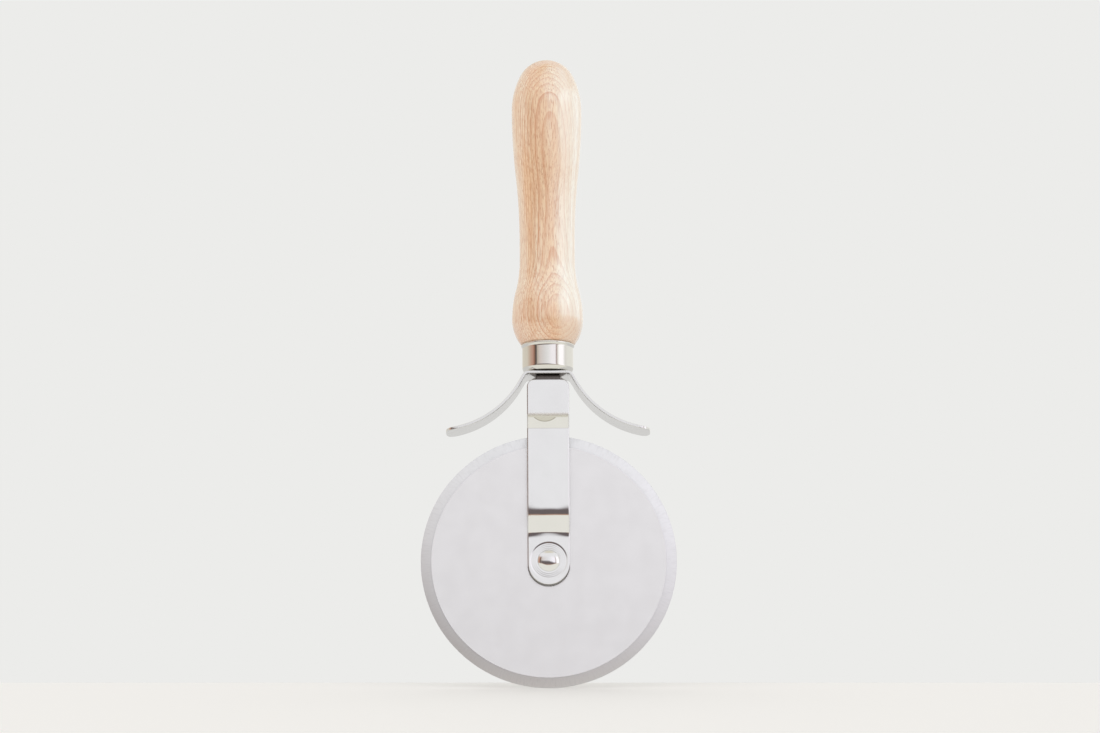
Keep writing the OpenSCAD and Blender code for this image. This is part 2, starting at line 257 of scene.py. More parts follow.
def srgb(red, green, blue):
    """Linear colour of a screen colour given in 0 to 255."""
    shares = [value / 255 for value in (red, green, blue)]
    linear = [s / 12.92 if s <= 0.04045 else ((s + 0.055) / 1.055) ** 2.4 for s in shares]
    return (*linear, 1)


# Mesh helpers

def new_piece(name, mesh):
    """Object from a bmesh, welded, with outward normals and smooth shading."""
    bmesh.ops.remove_doubles(mesh, verts=mesh.verts, dist=TINY)
    bmesh.ops.dissolve_degenerate(mesh, edges=mesh.edges, dist=TINY)
    bmesh.ops.recalc_face_normals(mesh, faces=mesh.faces)
    for face in mesh.faces:
        face.smooth = True
    data = bpy.data.meshes.new(name)
    mesh.to_mesh(data)
    mesh.free()
    piece = bpy.data.objects.new(name, data)
    bpy.context.scene.collection.objects.link(piece)
    piece.modifiers.new("even_shading", "WEIGHTED_NORMAL").weight = 100
    return piece


def arc(centre, radius, start, end, steps=ARC_STEPS):
    """Points of an arc in a plane, both ends included, angles in radians."""
    angles = [start + (end - start) * i / steps for i in range(steps + 1)]
    return [(centre[0] + radius * math.cos(a), centre[1] + radius * math.sin(a)) for a in angles]


def filleted(corners, steps=CORNER_STEPS):
    """Closed outline whose corners, given as (x, y, radius), are rounded."""
    points = []
    for i, (x, y, radius) in enumerate(corners):
        here = Vector((x, y))
        if radius == 0:
            points.append((x, y))
            continue
        back = (Vector(corners[i - 1][:2]) - here).normalized()
        on = (Vector(corners[(i + 1) % len(corners)][:2]) - here).normalized()
        half = back.angle(on) / 2
        centre = here + (back + on).normalized() * (radius / math.sin(half))
        first = here + back * (radius / math.tan(half)) - centre
        last = here + on * (radius / math.tan(half)) - centre
        start = math.atan2(first.y, first.x)
        sweep = math.atan2(first.x * last.y - first.y * last.x, first.dot(last))
        points += arc(centre, radius, start, start + sweep, steps)
    return points


def turned(name, outline, place=Matrix.Identity(4)):
    """Outline of (radius, height) points turned about +Z, then placed.

    The outline is closed unless it starts on the axis."""
    mesh = bmesh.new()
    turns = [2 * math.pi * k / TURN_STEPS for k in range(TURN_STEPS)]
    rings = []
    for radius, height in outline:
        around = turns if radius > TINY else turns[:1]
        spots = [Vector((radius * math.cos(a), radius * math.sin(a), height)) for a in around]
        rings.append([mesh.verts.new(place @ spot) for spot in spots])
    if outline[0][0] > TINY:
        rings.append(rings[0])
    for lower, upper in zip(rings, rings[1:]):
        for k in range(TURN_STEPS):
            corners = [lower[k % len(lower)], lower[(k + 1) % TURN_STEPS % len(lower)],
                       upper[(k + 1) % TURN_STEPS % len(upper)], upper[k % len(upper)]]
            corners = list(dict.fromkeys(corners))
            if len(corners) > 2:
                mesh.faces.new(corners)
    return new_piece(name, mesh)


class Midline:
    """Midline of a bent strip: straight and bent stretches, each starting where the last one ends."""

    def __init__(self, x, y, heading):
        self.end = (x, y, heading)
        self.length = 0
        self.stretches = []

    def go(self, length, turn=0):
        """Adds a stretch, straight or with a turn to the left in radians."""
        self.stretches.append((self.length, length, self.end, turn))
        self.length += length
        self.end = self.at(self.length)

    def bend(self, radius, turn):
        """Adds a bend of a radius on the midline."""
        self.go(radius * abs(turn), turn)

    def at(self, s):
        """Place and heading at a length s along the strip."""
        found = [stretch for stretch in self.stretches if stretch[0] <= s + TINY] or self.stretches[:1]
        start, length, (x, y, heading), turn = found[-1]
        gone = s - start
        if turn == 0:
            return x + gone * math.cos(heading), y + gone * math.sin(heading), heading
        radius = length / turn
        now = heading + turn * gone / length
        return (x + radius * (math.sin(now) - math.sin(heading)),
                y - radius * (math.cos(now) - math.cos(heading)), now)

    def stations(self, first, last):
        """Lengths from first to last, without the last, closer together in the bends."""
        found = []
        for start, length, _, turn in self.stretches:
            near = max(start, first)
            far = min(start + length, last)
            if far - near > TINY:
                step = length / abs(turn) * STATION_TURN if turn else STATION_GAP
                found += spread(near, far, min(step, STATION_GAP))
        return found

    def offset(self, s, gap):
        """Point at a gap to the left of the midline."""
        x, y, heading = self.at(s)
        return x - gap * math.sin(heading), y + gap * math.cos(heading)


def inset(outline, gap):
    """Half outline of (length, half width) points from tip to tip, moved inwards by a gap."""
    first = (outline[1][0], -outline[1][1])
    last = (outline[-2][0], -outline[-2][1])
    padded = [first, *outline, last]
    moved = []
    for (s, width), before, after in zip(outline, padded, padded[2:]):
        way = Vector((after[0] - before[0], after[1] - before[1])).normalized()
        moved.append((s + gap * way.y, max(width - gap * way.x, 0)))
    moved[0] = (moved[0][0], 0)
    moved[-1] = (moved[-1][0], 0)
    return moved


def worn_edge(flat):
    """Points of a worn edge from a strip's face to its side: gap from the side, drop from the face."""
    line = Midline(0, 0, 0)
    line.bend(EDGE_FACE_R, -EDGE_TURN)
    line.go(flat)
    line.bend(EDGE_SIDE_R, EDGE_TURN - math.pi / 2)
    spots = [line.at(line.length * k / WORN_EDGE_STEPS) for k in range(WORN_EDGE_STEPS + 1)]
    return [(line.end[0] - x, -y) for x, y, _ in spots]


def strip(name, outline, thickness, columns, edge_flat, place):
    """Strip with worn edges. place(s, w, t) gives the spot at a length, a side and a height.

    Its materials are for its face, its sides, its underside and its worn edges."""
    rim = [(gap, thickness / 2 - drop) for gap, drop in worn_edge(edge_flat)]
    side = rim + [(gap, -height) for gap, height in reversed(rim)]
    edge = rim[0][0]
    shares = [2 * j / columns - 1 for j in range(columns + 1)]
    # One turn round the strip: top face, right edge, bottom face, left edge
    loop = [(edge, thickness / 2, share) for share in shares[:-1]]
    loop += [(gap, height, 1) for gap, height in side]
    loop += [(edge, -thickness / 2, share) for share in reversed(shares[1:-1])]
    loop += [(gap, height, -1) for gap, height in reversed(side[1:])]
    outlines = {gap: inset(outline, gap) for gap, _, _ in loop}
    mesh = bmesh.new()
    rings = []
    for i in range(len(outline)):
        spots = []
        for gap, height, share in loop:
            s, width = outlines[gap][i]
            spots.append(mesh.verts.new(place(s, share * width, height)))
        rings.append(spots)
    for near, far in zip(rings, rings[1:]):
        for k in range(len(loop)):
            face = mesh.faces.new((near[k - 1], near[k], far[k], far[k - 1]))
            gaps = loop[k - 1][0] + loop[k][0]
            if gaps < SIDE_GAP:
                face.material_index = 1
            elif gaps < 2 * edge - TINY:
                face.material_index = 3
            elif loop[k][1] < 0:
                face.material_index = 2
    return new_piece(name, mesh)


def spread(start, end, step):
    """Evenly spaced lengths from start to end, without the end."""
    count = max(1, math.ceil((end - start) / step))
    return [start + (end - start) * i / count for i in range(count)]


# Pieces

def ogee(z, z1, r1, z2, r2):
    """Value at z of two equal arcs that join r1 at z1 to r2 at z2, without a slope at both ends."""
    bend = ((z2 - z1) ** 2 + (r2 - r1) ** 2) / (4 * (r2 - r1))
    side = abs(bend)
    if z - z1 < z2 - z:
        return r1 + math.copysign(side - math.sqrt(side ** 2 - (z - z1) ** 2), bend)
    return r2 - math.copysign(side - math.sqrt(side ** 2 - (z2 - z) ** 2), bend)


def make_handle():
    """Turned handle: tenon, bulb, waist, swell and domed end."""
    foot_z = FERRULE_HIGH.z
    end_z = HANDLE_HIGH.z
    bulb_z = foot_z + BULB_AT
    waist_z1 = foot_z + WAIST_AT
    waist_z2 = waist_z1 + WAIST_LEN
    swell_z = end_z - SWELL_FROM_END
    foot_rise = BULB_R - FOOT_R
    foot_curve_r = (BULB_AT ** 2 + foot_rise ** 2) / (2 * foot_rise)
    foot_angle = math.asin(BULB_AT / foot_curve_r)
    end_x = SWELL_R - END_CURVE_R
    nose_r = ((END_CURVE_R ** 2 - SWELL_FROM_END ** 2 - end_x ** 2)
              / (2 * (END_CURVE_R - SWELL_FROM_END)))
    nose_z = end_z - nose_r
    nose_angle = math.atan2(nose_z - swell_z, -end_x)
    bulb_zs = spread(bulb_z, waist_z1, PROFILE_GAP)[1:]
    waist_zs = spread(waist_z1, waist_z2, PROFILE_GAP)
    swell_zs = spread(waist_z2, swell_z, PROFILE_GAP)
    outline = [(0, HANDLE_LOW.z), (TENON_R, HANDLE_LOW.z), (TENON_R, foot_z)]
    outline += arc((BULB_R - foot_curve_r, bulb_z), foot_curve_r, -foot_angle, 0)
    outline += [(ogee(z, bulb_z, BULB_R, waist_z1, WAIST_R), z) for z in bulb_zs]
    outline += [(WAIST_R, z) for z in waist_zs]
    outline += [(ogee(z, waist_z2, WAIST_R, swell_z, SWELL_R), z) for z in swell_zs]
    outline += arc((end_x, swell_z), END_CURVE_R, 0, nose_angle, FINE_ARC_STEPS)
    outline += arc((0, nose_z), nose_r, nose_angle, math.pi / 2, FINE_ARC_STEPS)[1:-1]
    outline += [(0, end_z)]
    return turned("beech_handle", outline)


def make_ferrule():
    """Drawn cap with a rounded bottom edge, a flare and a rolled bead at its mouth."""
    bottom = FERRULE_LOW.z
    top = FERRULE_HIGH.z
    bead_x = FERRULE_HIGH.x - BEAD_R
    bead_z = top - BEAD_R
    # The wall flares out and runs into the bead's lower side
    flare = math.acos(1 - (bead_x + BEAD_R * math.cos(FLARE_MEET) - FERRULE_R) / FLARE_R)
    flare_z = bead_z - BEAD_R * math.sin(FLARE_MEET) - FLARE_R * math.sin(flare)
    inner_r = FERRULE_R - FERRULE_WALL
    floor_z = bottom + FERRULE_LIFT + FERRULE_WALL
    edge_x = FERRULE_R - FERRULE_EDGE_R
    rise = math.atan(FERRULE_LIFT / (FERRULE_R - FERRULE_SEAT_R))
    edge_z = bottom + (edge_x - FERRULE_SEAT_R) * math.tan(rise) + FERRULE_EDGE_R / math.cos(rise)
    outline = [(FERRULE_HOLE_R, bottom), (FERRULE_SEAT_R, bottom)]
    outline += arc((edge_x, edge_z), FERRULE_EDGE_R, rise - math.pi / 2, 0, EDGE_ARC_STEPS)
    outline += arc((FERRULE_R + FLARE_R, flare_z), FLARE_R, math.pi, math.pi - flare, SMALL_ARC_STEPS)
    outline += arc((bead_x, bead_z), BEAD_R, -FLARE_MEET, math.pi / 2)
    outline += [(inner_r, top), (inner_r, floor_z), (FERRULE_HOLE_R, floor_z)]
    return turned("steel_ferrule", outline)


def make_blade():
    """Disc with a bevel on both sides, whose second material is for the bevel."""
    half = BLADE_T / 2
    edge = EDGE_T / 2
    bevel_r = BLADE_R - BEVEL_W
    corners = [(HUB_HOLE_R, -half, HOLE_SOFT_R), (bevel_r, -half, BEVEL_SOFT_R), (BLADE_R, -edge, 0),
               (BLADE_R, edge, 0), (bevel_r, half, BEVEL_SOFT_R), (HUB_HOLE_R, half, HOLE_SOFT_R)]
    place = Matrix.Translation(HUB) @ Matrix.Rotation(math.pi / 2, 4, "X")
    blade = turned("round_blade", filleted(corners), place)
    for face in blade.data.polygons:
        if (face.center - HUB).length > bevel_r:
            face.material_index = 1
    return blade


def make_rivet(name, node, front):
    """Rivet half: its domed head and its shank, on the axle."""
    low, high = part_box(node)
    head_face = -low.y if front else high.y
    seat = head_face - RIVET_H
    shank_r = AXLE_R if front else PIN_R
    tail = -high.y if front else low.y
    # A flatter crown runs into a tighter shoulder, which drops to the rim
    crown_turn = math.asin(RIVET_SHOULDER_AT / RIVET_CROWN_R)
    crown_z = head_face - RIVET_CROWN_R
    out = RIVET_R - RIVET_SHOULDER_AT
    drop = crown_z + RIVET_CROWN_R * math.cos(crown_turn) - seat
    rim_turn = 2 * math.atan(drop / out) - crown_turn
    shoulder_r = out / (math.sin(rim_turn) - math.sin(crown_turn))
    shoulder = (RIVET_R - shoulder_r * math.sin(rim_turn), seat - shoulder_r * math.cos(rim_turn))
    up = math.pi / 2
    outline = arc((0, crown_z), RIVET_CROWN_R, up, up - crown_turn, SMALL_ARC_STEPS)
    outline += arc(shoulder, shoulder_r, up - crown_turn, up - rim_turn)
    outline += [(shank_r, seat), (shank_r, tail), (0, tail)]
    outline[0] = (0, head_face)
    turn = math.pi / 2 if front else -math.pi / 2
    place = Matrix.Translation(HUB) @ Matrix.Rotation(turn, 4, "X")
    return turned(name, outline, place)


def sharp_step(line, side, shift, height, radius):
    """A strip's step to one side: two equal bends and the straight slope between them."""
    from_centre = math.hypot(height / 2, radius - shift / 2)
    turn = math.asin(radius / from_centre) - math.atan2(radius - shift / 2, height / 2)
    line.bend(radius, side * turn)
    line.go(2 * math.sqrt(from_centre ** 2 - radius ** 2))
    line.bend(radius, -side * turn)


def soft_step(line, side, shift, height, first_share):
    """A strip's step to one side: two bends that share its height."""
    turn = 2 * math.atan(shift / height)
    both = height / math.sin(turn)
    line.bend(both * first_share, side * turn)
    line.bend(both * (1 - first_share), -side * turn)


def fork_midline():
    """Midline of the fork's strip, from the front leg's end over the crown to the rear leg's end."""
    leg_y = LEG_IN + FORK_T / 2
    crown_mid_r = CROWN_BEND_R - FORK_T / 2
    upper_foot = UPPER_BEND_Z - UPPER_STEP_H
    crown_rise = FORK_HIGH.z - CROWN_BEND_R - UPPER_BEND_Z
    lower_foot = HUB.z + LOWER_STEP_FOOT
    lower_head = lower_foot + LOWER_STEP_H
    lower_step = FORK_HIGH.y - UPPER_STEP - LEG_IN - FORK_T
    line = Midline(-leg_y, FORK_LOW.z, math.pi / 2)
    line.go(lower_foot - FORK_LOW.z)
    soft_step(line, 1, lower_step, LOWER_STEP_H, LOWER_FOOT_SHARE)
    line.go(upper_foot - lower_head)
    sharp_step(line, 1, UPPER_STEP, UPPER_STEP_H, UPPER_BEND_R)
    line.go(crown_rise)
    line.bend(crown_mid_r, -math.pi / 2)
    line.go(2 * (FORK_HIGH.y - CROWN_BEND_R))
    line.bend(crown_mid_r, -math.pi / 2)
    line.go(crown_rise)
    sharp_step(line, -1, UPPER_STEP, UPPER_STEP_H, UPPER_BEND_R)
    line.go(upper_foot - lower_head)
    soft_step(line, -1, lower_step, LOWER_STEP_H, 1 - LOWER_FOOT_SHARE)
    line.go(lower_foot - FORK_LOW.z)
    return line


def fork_outline(line):
    """Half outline of the fork's strip: round ends, parallel legs, square shoulders and the neck."""
    middle = line.length / 2
    points = [(LEG_HALF_W * (1 - math.cos(a)), LEG_HALF_W * math.sin(a))
              for a in spread(0, math.pi / 2, math.pi / 2 / LEG_END_STEPS)]
    # The shoulder is cut square at its height, which may lie a little along the crown's bend
    crown_mid_r = CROWN_BEND_R - FORK_T / 2
    bend_start = middle - (FORK_HIGH.y - CROWN_BEND_R) - crown_mid_r * math.pi / 2
    shoulder_s = bend_start + crown_mid_r * math.asin((CROWN_BEND_R - SHOULDER_DROP) / CROWN_BEND_R)
    corner_s = shoulder_s - SHOULDER_R
    neck_s = shoulder_s + NECK_FILLET_R
    hub_end = LEG_HALF_W + HUB_STRETCH
    points += [(s, LEG_HALF_W) for s in spread(LEG_HALF_W, hub_end, HUB_GAP)]
    points += [(s, LEG_HALF_W) for s in line.stations(hub_end, corner_s)]
    points += arc((corner_s, LEG_HALF_W - SHOULDER_R), SHOULDER_R, math.pi / 2, 0)
    fillet = (neck_s, NECK_HALF_W + NECK_FILLET_R)
    points += arc(fillet, NECK_FILLET_R, math.pi, math.pi * 1.5, CORNER_STEPS)
    points += [(s, NECK_HALF_W) for s in line.stations(neck_s, middle)[1:]]
    points.append((middle, NECK_HALF_W))
    return points + [(line.length - s, width) for s, width in reversed(points[:-1])]


def dish(distance):
    """Depth of the dish at a distance from the axle, with faint rings in its floor."""
    if distance <= RIPPLE_FROM:
        return DISH_DEPTH
    if distance <= DISH_FLOOR_R:
        turn = 2 * math.pi * (distance - RIPPLE_FROM) / RIPPLE_W
        return DISH_DEPTH - RIPPLE_H * (1 - math.cos(turn)) / 2
    if distance >= DISH_R:
        return 0
    return ogee(distance, DISH_FLOOR_R, DISH_DEPTH, DISH_R, 0)


def make_fork():
    """Bent strip with a dish pressed round the axle in each leg."""
    line = fork_midline()
    quarter = line.length / 4
    foot_z = HUB.z + LOWER_STEP_FOOT

    @functools.cache
    def softened(s, t):
        """Mean of the strip's y over the lengths near s."""
        near = [line.offset(s + gap, t)[0] for gap in SOFT_GAPS]
        return sum(near) / len(near)

    def place(s, w, t):
        """Spot on the bent and pressed strip."""
        y, z = line.offset(s, t)
        if min(s, line.length - s) < quarter:
            pressed = dish(math.hypot(w, z - HUB.z))
            y, z = line.offset(s, t - pressed)
            # A pressed bend is softer towards the strip's sides
            if z > foot_z - SOFT_REACH:
                up = min(max((z - foot_z) / LOWER_STEP_H, 0), 1)
                least = FOOT_SOFT + (HEAD_SOFT - FOOT_SOFT) * up
                y += (softened(s, t) - y) * (least + (1 - least) * (w / LEG_HALF_W) ** 2)
        return Vector((w, y, z))

    return strip("steel_fork", fork_outline(line), FORK_T, FORK_COLUMNS, FORK_EDGE_FLAT, place)


def guard_midline():
    """Midline of the guard's strip, from tip to tip."""
    mid_r = GUARD_BEND_R + GUARD_T / 2
    sweep_r = GUARD_SWEEP_R - GUARD_T / 2
    half_span = GUARD_HIGH.x
    sweep_x = GUARD_FLAT_W / 2 + mid_r * math.sin(GUARD_SLOPE) + GUARD_STRAIGHT * math.cos(GUARD_SLOPE)
    tip_slope = math.asin(math.sin(GUARD_SLOPE) - (half_span - sweep_x) / sweep_r)
    drop = (mid_r * (1 - math.cos(GUARD_SLOPE)) + GUARD_STRAIGHT * math.sin(GUARD_SLOPE)
            + sweep_r * (math.cos(tip_slope) - math.cos(GUARD_SLOPE)))
    sweep = GUARD_SLOPE - tip_slope
    line = Midline(-half_span, GUARD_HIGH.z - GUARD_T / 2 - drop, tip_slope)
    line.bend(sweep_r, sweep)
    line.go(GUARD_STRAIGHT)
    line.bend(mid_r, -GUARD_SLOPE)
    line.go(GUARD_FLAT_W)
    line.bend(mid_r, -GUARD_SLOPE)
    line.go(GUARD_STRAIGHT)
    line.bend(sweep_r, sweep)
    return line


def make_guard():
    """Bent strip with rounded tips."""
    line = guard_midline()
    half_depth = GUARD_HIGH.y
    middle = line.length / 2
    power = 2 / GUARD_TIP_POWER
    points = [(GUARD_TIP_LEN * (1 - math.cos(a) ** power), half_depth * math.sin(a) ** power)
              for a in spread(0, math.pi / 2, math.pi / 2 / GUARD_TIP_STEPS)]
    points += [(s, half_depth) for s in line.stations(GUARD_TIP_LEN, middle)]
    points.append((middle, half_depth))
    outline = points + [(line.length - s, width) for s, width in reversed(points[:-1])]

    def place(s, w, t):
        """Spot on the bent strip."""
        x, z = line.offset(s, t)
        return Vector((x, w, z))

    return strip("steel_guard", outline, GUARD_T, GUARD_COLUMNS, GUARD_EDGE_FLAT, place)


# Finishes

def add(tree, kind, **values):
    """New node. A value goes to the input of that name, or else to the node's own setting."""
    made = tree.nodes.new(kind)
    for key, value in values.items():
        if key in made.inputs:
            made.inputs[key].default_value = value
        else:
            setattr(made, key, value)
    return made


def new_finish(name):
    """Empty material, with its node tree and shader."""
    material = bpy.data.materials.new(name)
    material.use_nodes = True
    tree = material.node_tree
    tree.nodes.clear()
    shader = add(tree, "ShaderNodeBsdfPrincipled")
    output = add(tree, "ShaderNodeOutputMaterial")
    tree.links.new(shader.outputs[0], output.inputs[0])
    return material, tree, shader


def coordinates(tree):
    """The piece's own coordinates, as three values."""
    spot = add(tree, "ShaderNodeTexCoord")
    apart = add(tree, "ShaderNodeSeparateXYZ")
    tree.links.new(spot.outputs["Object"], apart.inputs[0])
    return tuple(apart.outputs)


def noise(tree, across, along, detail=2.0, rough=0.5):
    """Noise with a number of waves per metre across the piece and along it."""
    spot = add(tree, "ShaderNodeTexCoord")
    scaled = add(tree, "ShaderNodeMapping", Scale=(across, across, along))
    tree.links.new(spot.outputs["Object"], scaled.inputs["Vector"])
    made = add(tree, "ShaderNodeTexNoise", Scale=1.0, Detail=detail, Roughness=rough)
    tree.links.new(scaled.outputs[0], made.inputs["Vector"])
    return made.outputs[0]


def levels(tree, value, low, high, start=0.0, end=1.0):
    """A value between low and high spread over start to end."""
    made = add(tree, "ShaderNodeMapRange", interpolation_type="SMOOTHSTEP")
    made.inputs["From Min"].default_value = low
    made.inputs["From Max"].default_value = high
    made.inputs["To Min"].default_value = start
    made.inputs["To Max"].default_value = end
    tree.links.new(value, made.inputs["Value"])
    return made.outputs[0]


def fading(tree, value, low, high):
    """1 for a value up to low, which falls to 0 at high."""
    return levels(tree, value, low, high, 1.0, 0.0)


def mixed(tree, share, first, second):
    """Colour between first and second, which are colours or sockets."""
    made = add(tree, "ShaderNodeMix", data_type="RGBA")
    tree.links.new(share, made.inputs[0])
    for socket, colour in ((made.inputs[6], first), (made.inputs[7], second)):
        if isinstance(colour, tuple):
            socket.default_value = colour
        else:
            tree.links.new(colour, socket)
    return made.outputs[2]


def maths(tree, operation, first, second=0.0):
    """Result of an operation on two numbers or sockets."""
    made = add(tree, "ShaderNodeMath", operation=operation)
    for socket, value in zip(made.inputs, (first, second)):
        if isinstance(value, (int, float)):
            socket.default_value = value
        else:
            tree.links.new(value, socket)
    return made.outputs[0]


def product(tree, first, second):
    """Product of two numbers or sockets."""
    return maths(tree, "MULTIPLY", first, second)


def vector_maths(tree, operation, socket, constant=(0, 0, 0)):
    """Node of an operation on a vector's socket and a constant."""
    made = add(tree, "ShaderNodeVectorMath", operation=operation)
    made.inputs[1].default_value = constant
    tree.links.new(socket, made.inputs[0])
    return made


def bumped(tree, shader, height, depth, strength=1.0):
    """Gives a shader bumps of a depth."""
    made = add(tree, "ShaderNodeBump", Strength=strength, Distance=depth)
    tree.links.new(height, made.inputs["Height"])
    tree.links.new(made.outputs[0], shader.inputs["Normal"])


def growth_rings(tree):
    """Darkness of the growth rings, which are cylinders round the pith, waved along the grain."""
    spot = add(tree, "ShaderNodeTexCoord").outputs["Object"]
    from_pith = vector_maths(tree, "SUBTRACT", spot, PITH)
    across = vector_maths(tree, "CROSS_PRODUCT", from_pith.outputs[0], GRAIN_WAY)
    reach = vector_maths(tree, "LENGTH", across.outputs[0]).outputs["Value"]
    waved = maths(tree, "ADD", reach, product(tree, noise(tree, 95, 18), RING_WAVE))
    count = maths(tree, "DIVIDE", waved, RING_W)
    ring = maths(tree, "FRACT", count)
    # A year's wood darkens slowly, ends with a line and starts pale again
    slow = levels(tree, ring, 0.25, 0.92, 0.0, 0.45)
    late = levels(tree, ring, 0.66, 0.9, 0.0, 0.55)
    year_end = fading(tree, ring, 0.94, 1.0)
    dark = product(tree, maths(tree, "ADD", slow, late), year_end)
    year = add(tree, "ShaderNodeTexWhiteNoise", noise_dimensions="1D")
    tree.links.new(maths(tree, "FLOOR", count), year.inputs["W"])
    return product(tree, dark, levels(tree, year.outputs["Value"], 0.0, 1.0, 0.65, 1.0))


def beech():
    """Pale turned beech: growth rings cut by the turned shape, fine pores, short ray flecks and a painted
    sheen on the right side.
    """
    material, tree, shader = new_finish("beech")
    pale = srgb(254, 237, 210)
    warm = srgb(248, 213, 171)
    fibre_tone = srgb(221, 151, 99)
    fleck_tone = srgb(200, 130, 84)
    ring_tone = srgb(212, 140, 90)
    sheen_tone = srgb(236, 208, 180)
    x, _, z = coordinates(tree)
    # Darker towards the handle's lower end
    darker_below = fading(tree, z, *DARKER_BELOW_Z)
    # Painted sheen: the right side's tone is evened out and its rings fainter, as under the light from the
    # right
    sheen_side = levels(tree, x, *SHEEN_SIDE_X)
    # Broad drift, fibres and flecks along the grain
    drift = levels(tree, noise(tree, 110, 9), 0.36, 0.66)
    fibre = levels(tree, noise(tree, 2200, 70, 4.0, 0.7), 0.38, 0.62)
    fleck = levels(tree, noise(tree, 3600, 300, 2.0, 0.6), 0.50, 0.66)
    colour = mixed(tree, drift, pale, warm)
    # Each layer has a mask, the most that it covers and its tone
    layers = [(darker_below, 0.18, fibre_tone), (fibre, 0.42, fibre_tone), (fleck, 0.72, fleck_tone),
              (sheen_side, 0.6, sheen_tone)]
    for mask, most, tone in layers:
        colour = mixed(tree, product(tree, mask, most), colour, tone)
    broken = product(tree, growth_rings(tree), levels(tree, fibre, 0.0, 1.0, 0.65, 1.0))
    ring_share = product(tree, broken, levels(tree, sheen_side, 0.0, 1.0, 0.95, 0.45))
    colour = mixed(tree, ring_share, colour, ring_tone)
    tree.links.new(colour, shader.inputs["Base Color"])
    tree.links.new(levels(tree, fibre, 0.0, 1.0, 0.46, 0.58), shader.inputs["Roughness"])
    shader.inputs["Specular IOR Level"].default_value = 1.0
    shader.inputs["Coat Weight"].default_value = 1.0
    shader.inputs["Coat Roughness"].default_value = 0.22
    shader.inputs["Coat IOR"].default_value = 1.85
    grain = maths(tree, "SUBTRACT", product(tree, fibre, 0.4), fleck)
    bumped(tree, shader, grain, 0.03 * MM, 0.5)
    return material


def steel(name, colour, rough, uneven, wave, scratch, zones=()):
    """Bare steel: uneven polish, soft waves from forming and fine scratches, with heights in millimetres.

    A zone with another finish, or with painted shade, a painted highlight or a painted reflection, has a
    mask, a colour and added roughness."""
    material, tree, shader = new_finish(name)
    shader.inputs["Metallic"].default_value = 1.0
    patch = noise(tree, 110, 110, 3.0)
    fine = noise(tree, 1400, 1400)
    duller = tuple(part * 0.985 for part in colour[:3]) + (1,)
    shade = mixed(tree, levels(tree, patch, 0.3, 0.7), colour, duller)
    worn_off = maths(tree, "ADD", product(tree, patch, 0.7), product(tree, fine, 0.3))
    polish = levels(tree, worn_off, 0.3, 0.7, rough - uneven, rough + uneven)
    for zone, zone_colour, zone_rough in zones:
        mask = zone(tree)
        shade = mixed(tree, mask, shade, zone_colour)
        polish = maths(tree, "ADD", polish, product(tree, mask, zone_rough))
    tree.links.new(shade, shader.inputs["Base Color"])
    tree.links.new(polish, shader.inputs["Roughness"])
    waves = product(tree, noise(tree, 120, 120, 1.0), wave)
    bumped(tree, shader, maths(tree, "ADD", waves, product(tree, fine, scratch)), MM)
    return material


# Zones of the steel: painted shade, a painted highlight, a painted reflection, and marks of another finish

def reach_from(tree, axis_x, axis_z):
    """Distance from an axis along Y, and turn about it in radians."""
    x, _, z = coordinates(tree)
    side = maths(tree, "SUBTRACT", x, axis_x)
    rise = maths(tree, "SUBTRACT", z, axis_z)
    squares = maths(tree, "ADD", product(tree, side, side), product(tree, rise, rise))
    return maths(tree, "SQRT", squares), maths(tree, "ARCTAN2", rise, side)


def neck_shade_zone(tree):
    """Painted shade on the fork's neck under the guard, and on the top of its shoulders."""
    shoulder_z = FORK_HIGH.z - SHOULDER_DROP
    return levels(tree, coordinates(tree)[2], shoulder_z - 0.45 * MM, shoulder_z - 0.05 * MM)


def end_shade_zone(tree):
    """Painted shade along the rim of the leg's round end, next to the blade."""
    centre_z = FORK_LOW.z + LEG_HALF_W
    reach = reach_from(tree, 0, centre_z)[0]
    rim = levels(tree, reach, LEG_HALF_W - 0.24 * MM, LEG_HALF_W - 0.12 * MM)
    drop = maths(tree, "SUBTRACT", centre_z, coordinates(tree)[2])
    return product(tree, rim, levels(tree, drop, -0.5 * MM, 1.5 * MM))


def bend_highlight_zone(tree):
    """The fork's upper bends: a painted highlight, lighter in colour, with added roughness."""
    middle_z = UPPER_BEND_Z - 0.2 * MM
    gap = maths(tree, "ABSOLUTE", maths(tree, "SUBTRACT", coordinates(tree)[2], middle_z))
    return fading(tree, gap, 0.3 * MM, 0.8 * MM)


def lens_reach(tree):
    """Distance from the axis of the arc that ends the painted reflection."""
    return reach_from(tree, LENS_X, UPPER_BEND_Z - LENS_SAG + LENS_R)[0]


def lens_reflection_zone(tree):
    """Painted reflection under the fork's upper bends: a band that sags in its middle."""
    z = coordinates(tree)[2]
    sag = fading(tree, lens_reach(tree), LENS_R - 0.1 * MM, LENS_R + 0.1 * MM)
    band = levels(tree, z, UPPER_BEND_Z - 1.6 * MM, UPPER_BEND_Z - 1.1 * MM)
    under = fading(tree, z, UPPER_BEND_Z - 1.4 * MM, UPPER_BEND_Z + 0.5 * MM)
    return product(tree, maths(tree, "MAXIMUM", sag, band), under)


def lens_reflection_edge(tree):
    """The darker line of painted reflection that ends the band where it sags."""
    gap = maths(tree, "ABSOLUTE", maths(tree, "SUBTRACT", lens_reach(tree), LENS_R))
    line = fading(tree, gap, 0.05 * MM, 0.3 * MM)
    under = fading(tree, coordinates(tree)[2], UPPER_BEND_Z - 1.6 * MM, UPPER_BEND_Z - 1.2 * MM)
    return product(tree, line, under)


